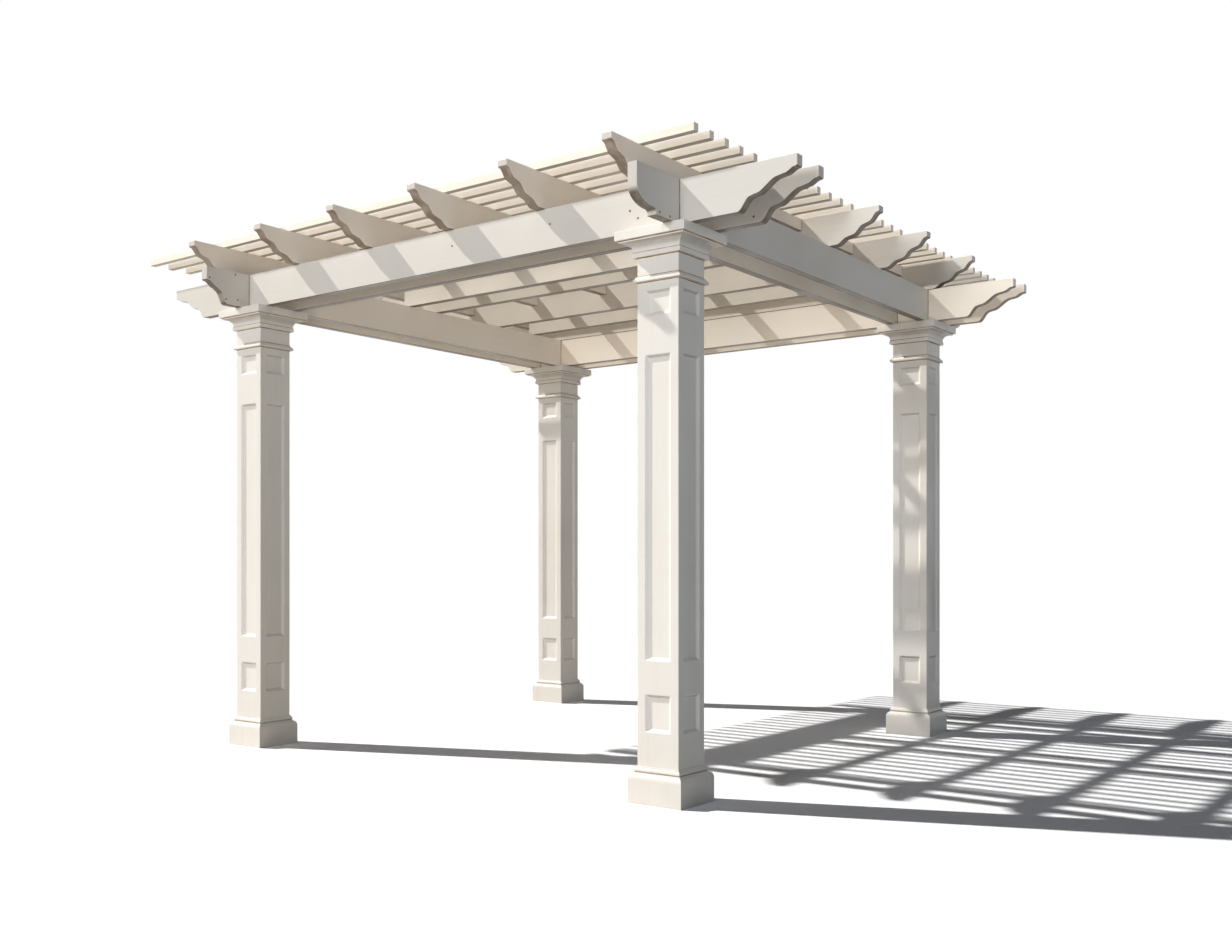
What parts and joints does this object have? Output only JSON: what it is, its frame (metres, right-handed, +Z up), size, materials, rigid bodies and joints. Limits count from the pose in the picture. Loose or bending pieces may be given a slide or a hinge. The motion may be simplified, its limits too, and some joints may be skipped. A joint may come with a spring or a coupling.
{
  "type": "garden pergola",
  "caption": "Free-standing open garden pergola of painted timber: panelled square columns, paired beam boards, scroll-tailed rafters laid both ways and a layer of slats.",
  "frame": {"origin": "on the ground, at the centre of the plan", "axes": "+X to the right along the front beam, +Y to the back, +Z up"},
  "size_m": [4.135, 3.88, 2.779],
  "materials": {
    "column_paint": "satin cream-white paint",
    "beam_paint": "satin cream-white paint",
    "rafter_paint": "satin cream-white paint",
    "slat_paint": "satin cream-white paint"
  },
  "bodies": {
    "root": {"front_left_base": "column_paint", "front_left_shaft": "column_paint", "front_left_collar": "column_paint", "front_left_capital": "column_paint", "front_right_base": "column_paint", "front_right_shaft": "column_paint", "front_right_collar": "column_paint", "front_right_capital": "column_paint", "back_right_base": "column_paint", "back_right_shaft": "column_paint", "back_right_collar": "column_paint", "back_right_capital": "column_paint", "back_left_base": "column_paint", "back_left_shaft": "column_paint", "back_left_collar": "column_paint", "back_left_capital": "column_paint", "front_outer_beam": "beam_paint", "front_inner_beam": "beam_paint", "back_outer_beam": "beam_paint", "back_inner_beam": "beam_paint", "left_outer_beam": "beam_paint", "left_inner_beam": "beam_paint", "right_outer_beam": "beam_paint", "right_inner_beam": "beam_paint", "front_left_beam_tail": "beam_paint", "front_right_beam_tail": "beam_paint", "back_right_beam_tail": "beam_paint", "back_left_beam_tail": "beam_paint", "rafter_1": "rafter_paint", "rafter_2": "rafter_paint", "rafter_3": "rafter_paint", "rafter_4": "rafter_paint", "rafter_5": "rafter_paint", "rafter_6": "rafter_paint", "cross_rafter_1": "rafter_paint", "cross_rafter_2": "rafter_paint", "cross_rafter_3": "rafter_paint", "cross_rafter_4": "rafter_paint", "cross_rafter_5": "rafter_paint", "slats_1": "slat_paint", "slats_2": "slat_paint", "slats_3": "slat_paint", "slats_4": "slat_paint"}
  },
  "joints": []
}
